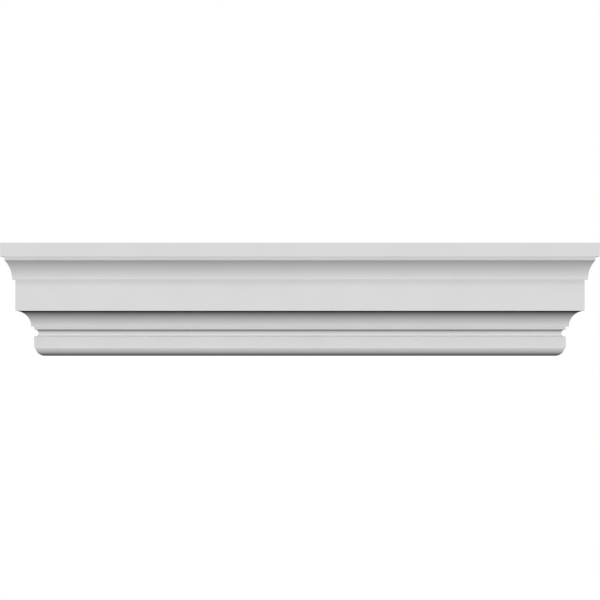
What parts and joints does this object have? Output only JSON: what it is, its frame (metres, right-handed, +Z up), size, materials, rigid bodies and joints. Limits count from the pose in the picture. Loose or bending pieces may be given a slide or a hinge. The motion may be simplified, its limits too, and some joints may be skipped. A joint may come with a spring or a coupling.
{
  "type": "over door cornice",
  "caption": "Long moulded cornice that caps a door casing, with coves, a frieze and a rounded foot band, its profile returned round both ends.",
  "frame": {"origin": "middle of the flat back, where it lies against the wall", "axes": "+X along the moulding, to the right seen from the front; +Y into the wall, so the face looks along -Y; +Z up"},
  "size_m": [1.219, 0.1143, 0.2312],
  "materials": {
    "primed_foam": "factory primed white, matte"
  },
  "bodies": {
    "root": {"cornice": "primed_foam"}
  },
  "joints": []
}
